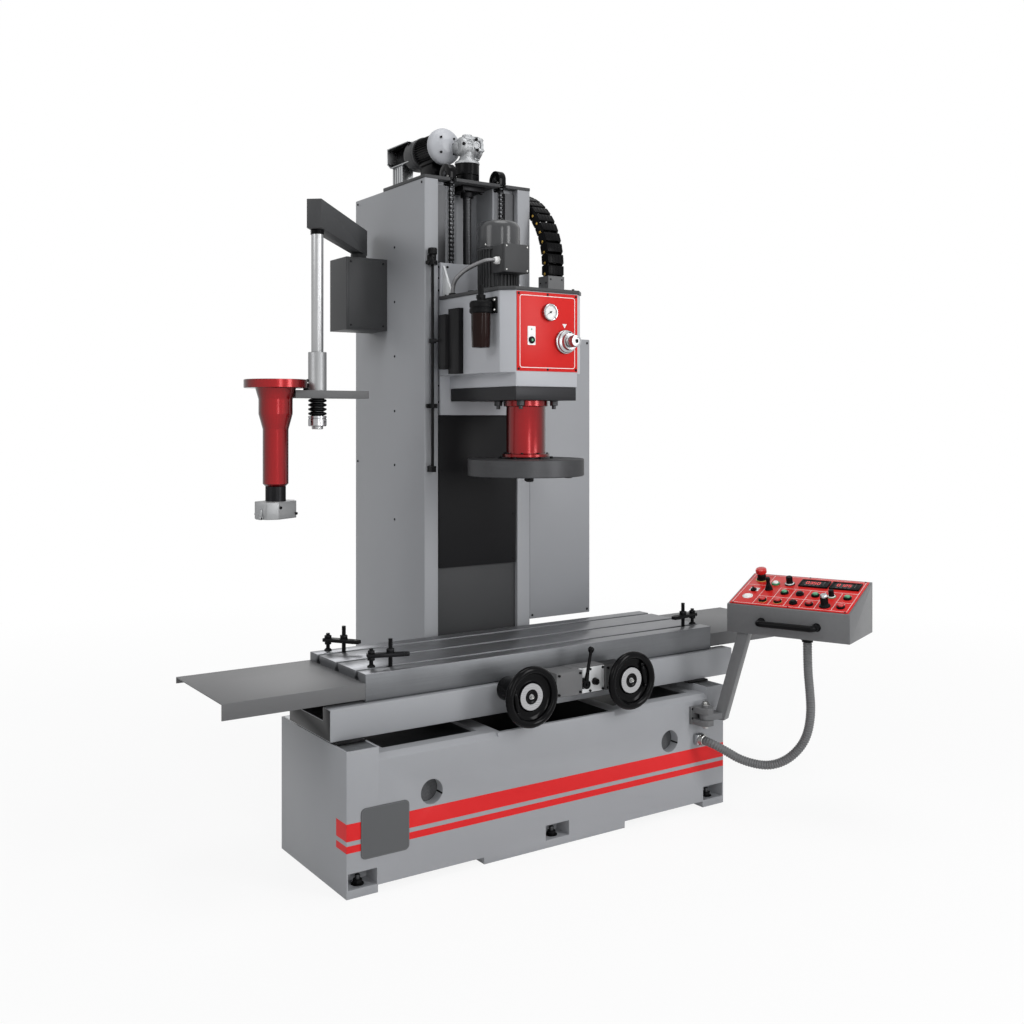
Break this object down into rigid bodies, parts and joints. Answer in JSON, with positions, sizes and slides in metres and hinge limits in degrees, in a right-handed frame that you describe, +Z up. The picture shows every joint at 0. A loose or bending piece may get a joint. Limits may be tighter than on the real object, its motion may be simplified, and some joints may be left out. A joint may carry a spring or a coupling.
{
  "type": "vertical boring machine",
  "caption": "Vertical boring machine: column on a long base, cross-travelling slotted table, head with a facing disc, swinging tool arm and control pendant.",
  "frame": {"origin": "on the floor straight below the spindle axis", "axes": "+Z up, +X to the operator's right, +Y to the back of the machine"},
  "size_m": [2.323, 1.6915, 2.498],
  "materials": {
    "grey_paint": "satin light grey paint",
    "dark_paint": "satin dark grey paint",
    "black_paint": "black paint",
    "red_paint": "gloss red with white line",
    "white_paint": "white paint",
    "ground_steel": "ground steel",
    "dark_steel": "dark machined steel",
    "table_iron": "scraped cast iron",
    "red_anodised": "gloss red anodised",
    "silver_aluminium": "machined aluminium",
    "chrome": "polished hard chrome",
    "black_plastic": "gloss black",
    "matte_black": "matte black",
    "control_plastic": "gloss coloured caps",
    "grey_conduit": "corrugated grey"
  },
  "bodies": {
    "frame": {"base_casting": "grey_paint", "cross_ways": "ground_steel", "deck_pans": "dark_paint", "rear_base": "grey_paint", "column": "grey_paint", "top_plate": "dark_paint", "guide_rails": "ground_steel", "ball_screw": "ground_steel", "screw_bearings": "dark_steel", "lift_gearbox": "silver_aluminium", "lift_motor": "dark_paint", "chain_guards": "black_paint", "sprockets": "dark_steel", "lift_chains": "dark_steel", "slot_cover": "dark_paint", "cabinet": "grey_paint", "stop_rod": "black_paint", "arm_box": "dark_paint", "pendant_bracket": "grey_paint", "conduit_gland": "dark_paint", "chain_anchor": "dark_paint"},
    "saddle": {"saddle": "grey_paint", "gib_strips": "black_paint", "feed_box": "grey_paint"},
    "table": {"table": "table_iron", "left_cover": "dark_paint", "right_cover": "dark_paint", "table_clamps": "dark_steel"},
    "left_handwheel": {"left_handwheel": "black_plastic"},
    "right_handwheel": {"right_handwheel": "black_plastic"},
    "feed_lever": {"feed_lever": "black_paint"},
    "head": {"carriage": "grey_paint", "apron": "black_paint", "head_body": "grey_paint", "head_top_plate": "dark_steel", "head_foot_plate": "dark_steel", "control_panel": "red_paint", "air_gauge": "white_paint", "lubricator": "black_plastic", "vent_boxes": "black_paint", "spindle_motor": "dark_paint", "motor_gland": "matte_black", "motor_conduit": "grey_conduit", "spindle_housing": "red_anodised", "chain_bracket": "dark_paint", "energy_chain": "matte_black"},
    "milling_disc": {"milling_disc": "table_iron"},
    "depth_knob": {"depth_knob": "silver_aluminium"},
    "tool_arm": {"tool_arm": "dark_paint", "arm_bar": "chrome"},
    "tool_holder": {"holder_plate": "dark_steel", "spare_spindle": "red_anodised"},
    "boring_head": {"boring_head": "silver_aluminium"},
    "pendant": {"pendant_arm": "dark_paint", "pendant_box": "dark_paint", "pendant_panel": "red_paint", "pendant_controls": "control_plastic", "pendant_handle": "matte_black", "pendant_conduit": "grey_conduit"}
  },
  "joints": [
    {"name": "saddle_cross", "type": "slide", "parent": "frame", "child": "saddle", "axis": [0, 1, 0], "range_m": [-0.05, 0.05]},
    {"name": "table_travel", "type": "slide", "parent": "saddle", "child": "table", "axis": [1, 0, 0], "range_m": [-0.4, 0.4]},
    {"name": "cross_wheel_spin", "type": "hinge", "parent": "saddle", "child": "left_handwheel", "pos_m": [-0.215, -0.344, 0.514], "axis": [0, 1, 0], "continuous": true},
    {"name": "table_wheel_spin", "type": "hinge", "parent": "saddle", "child": "right_handwheel", "pos_m": [0.193, -0.344, 0.514], "axis": [0, 1, 0], "continuous": true},
    {"name": "feed_lever_turn", "type": "hinge", "parent": "saddle", "child": "feed_lever", "pos_m": [0.047, -0.28, 0.508], "axis": [0, 1, 0], "range_deg": [-20, 20]},
    {"name": "head_travel", "type": "slide", "parent": "frame", "child": "head", "axis": [0, 0, 1], "range_m": [-0.21, 0.15], "deforming": ["energy_chain"]},
    {"name": "spindle_spin", "type": "hinge", "parent": "head", "child": "milling_disc", "pos_m": [0, 0, 1.222], "axis": [0, 0, 1], "continuous": true},
    {"name": "knob_spin", "type": "hinge", "parent": "head", "child": "depth_knob", "pos_m": [0.071, -0.165, 1.655], "axis": [0, 1, 0], "continuous": true},
    {"name": "tool_arm_swing", "type": "hinge", "parent": "frame", "child": "tool_arm", "pos_m": [-0.318, 0.671, 2], "axis": [0, 0, 1], "range_deg": [-60, 15]},
    {"name": "tool_holder_swing", "type": "hinge", "parent": "tool_arm", "child": "tool_holder", "pos_m": [-0.68504, 0.23451, 1.5], "axis": [0, 0, 1], "range_deg": [-90, 90]},
    {"name": "spare_head_spin", "type": "hinge", "parent": "tool_holder", "child": "boring_head", "pos_m": [-0.83264, 0.23451, 1.1], "axis": [0, 0, 1], "continuous": true},
    {"name": "pendant_swing", "type": "hinge", "parent": "frame", "child": "pendant", "pos_m": [0.545, -0.329, 0.337], "axis": [0, 0, 1], "range_deg": [-60, 15], "deforming": ["pendant_conduit"]}
  ]
}
